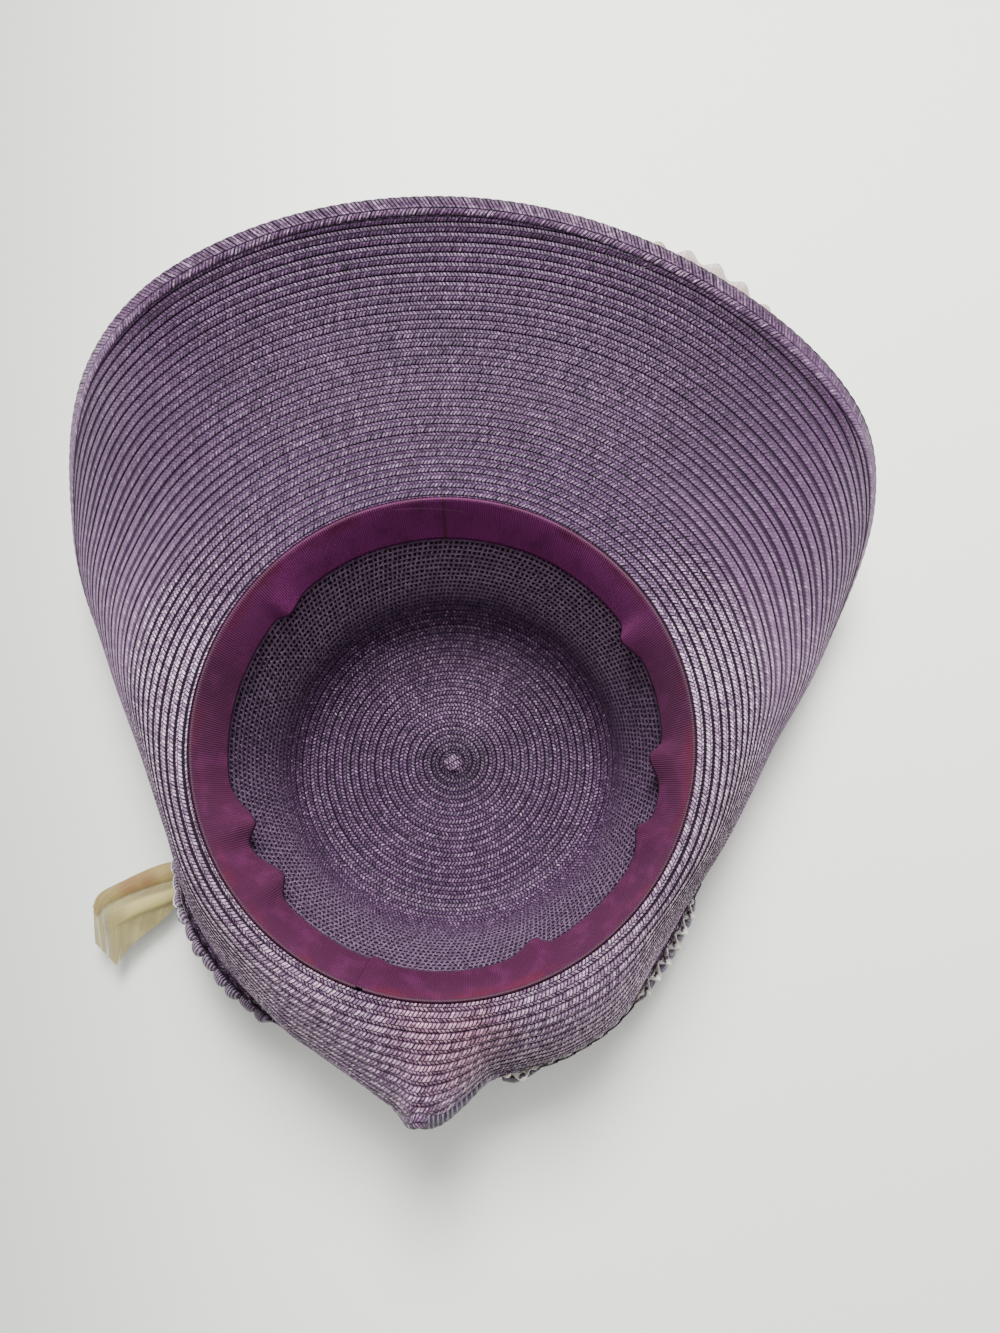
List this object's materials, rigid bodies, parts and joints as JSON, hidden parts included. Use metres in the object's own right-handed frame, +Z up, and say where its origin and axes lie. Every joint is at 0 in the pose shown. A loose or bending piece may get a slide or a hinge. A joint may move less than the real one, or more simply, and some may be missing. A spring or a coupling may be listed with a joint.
{
  "type": "straw hat",
  "caption": "Sewn straw-braid hat with a shallow flat-topped crown, a wide front brim rolled up at the sides and back, a ribbon sweatband, wavy edge trim and a feather.",
  "frame": {"origin": "middle of the crown's flat tip, on the surface that the upturned hat lies on", "axes": "+Z up through the crown to the head opening, +Y to the front where the brim is widest, +X to the wearer's left when the hat is worn"},
  "size_m": [0.3359, 0.3418, 0.1078],
  "materials": {
    "straw": "dyed lavender straw braid with a slight gloss",
    "rim": "doubled lavender straw braid",
    "sweatband": "plum grosgrain ribbon, fine ribs across",
    "ribbon": "white satin ribbon",
    "scallop": "twisted purple straw braid",
    "plume": "soft cream feather, translucent"
  },
  "bodies": {
    "root": {"straw_crown": "straw", "straw_brim": "straw", "rim_braid": "rim", "sweatband": "sweatband", "front_ribbon": "ribbon", "front_scallops": "scallop", "left_ribbon": "ribbon", "left_scallops": "scallop", "right_ribbon": "ribbon", "right_scallops": "scallop", "plume": "plume"}
  },
  "joints": []
}
